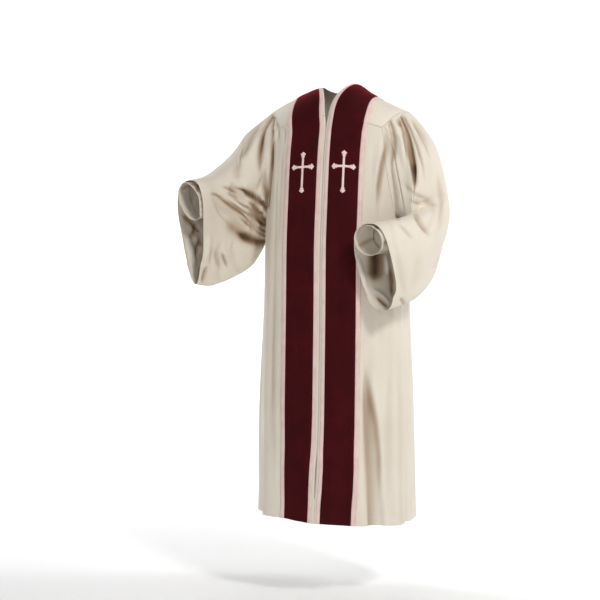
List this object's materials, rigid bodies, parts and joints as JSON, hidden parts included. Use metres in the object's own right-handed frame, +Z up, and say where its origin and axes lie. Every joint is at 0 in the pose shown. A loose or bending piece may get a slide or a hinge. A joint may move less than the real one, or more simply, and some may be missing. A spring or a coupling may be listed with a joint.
{
  "type": "pulpit robe",
  "caption": "Full-length ivory pulpit robe in its worn pose: yoke, fluted back, gathered bell sleeves with inner cuffs, velvet front bands edged in flat trim, raised budded crosses.",
  "frame": {"origin": "middle of the neck opening, level with the shoulder ridge, where a wearer's neck and shoulders hold the robe up", "axes": "+Z up, the front faces -Y, the wearer's left is +X"},
  "size_m": [0.8079, 0.4762, 1.3521],
  "materials": {
    "ivory_cloth": "soft satin weave",
    "maroon_velvet": "short velvet pile",
    "blush_trim": "flat woven trim"
  },
  "bodies": {
    "root": {"yoke": "ivory_cloth", "front_left": "ivory_cloth", "front_right": "ivory_cloth", "back": "ivory_cloth", "sleeve_left": "ivory_cloth", "sleeve_right": "ivory_cloth", "cuff_left": "ivory_cloth", "cuff_right": "ivory_cloth", "velvet_left": "maroon_velvet", "velvet_right": "maroon_velvet", "trim_inner_left": "blush_trim", "trim_inner_right": "blush_trim", "trim_outer_left": "blush_trim", "trim_outer_right": "blush_trim", "cross_left": "blush_trim", "cross_right": "blush_trim"}
  },
  "joints": []
}
